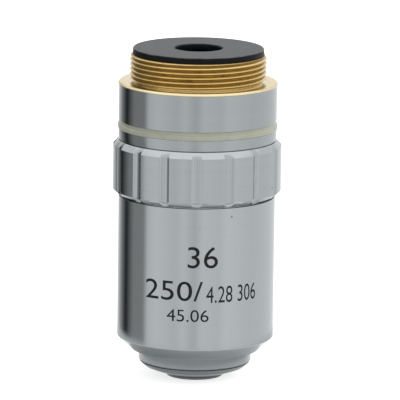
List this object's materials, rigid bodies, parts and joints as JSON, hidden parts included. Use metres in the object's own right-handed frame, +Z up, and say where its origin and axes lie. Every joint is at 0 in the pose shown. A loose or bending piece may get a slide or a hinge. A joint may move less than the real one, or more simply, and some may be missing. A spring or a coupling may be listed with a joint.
{
  "type": "microscope objective",
  "caption": "Sprung high-power microscope objective: threaded brass mount, fluted grip ring, coned barrel, and a lens nose that slides up into it.",
  "frame": {"origin": "centre of the locating shoulder, where the objective seats on the nosepiece", "axes": "+Z up along the optical axis through the mount thread, away from the front lens; -Y is the lettered side"},
  "size_m": [0.025, 0.025, 0.0496],
  "materials": {
    "brass": "turned, bare",
    "chromed_brass": "satin bright plating over turned brass",
    "black_anodised": "matte black anodised",
    "ivory_enamel": "ivory, semi-gloss",
    "steel": "turned steel",
    "spring_steel": "drawn wire",
    "blackened_brass": "chemically blackened, matte",
    "crown_glass": "polished, coated",
    "flint_glass": "polished, coated"
  },
  "bodies": {
    "housing": {"thread_mount": "brass", "rear_cap": "black_anodised", "upper_barrel": "chromed_brass", "colour_ring": "ivory_enamel", "grip_ring": "chromed_brass", "barrel_shell": "chromed_brass", "retraction_spring": "spring_steel"},
    "nose": {"lens_barrel": "chromed_brass", "guide_screw": "steel", "front_cell": "chromed_brass", "front_lens": "crown_glass", "meniscus_lens": "crown_glass", "doublet_cell": "blackened_brass", "doublet_crown_lens": "crown_glass", "doublet_flint_lens": "flint_glass", "front_spacer": "black_anodised", "triplet_cell": "blackened_brass", "triplet_front_lens": "flint_glass", "triplet_middle_lens": "crown_glass", "triplet_rear_lens": "flint_glass", "rear_spacer": "black_anodised", "flattener_cell": "blackened_brass", "flattener_crown_lens": "crown_glass", "flattener_flint_lens": "flint_glass", "lock_ring": "blackened_brass"}
  },
  "joints": [
    {"name": "nose_retract", "type": "slide", "parent": "housing", "child": "nose", "axis": [0, 0, 1], "range_m": [0, 0.0018], "stiffness_N_per_m": 700, "springref_m": -0.004, "deforming": ["retraction_spring"]}
  ]
}
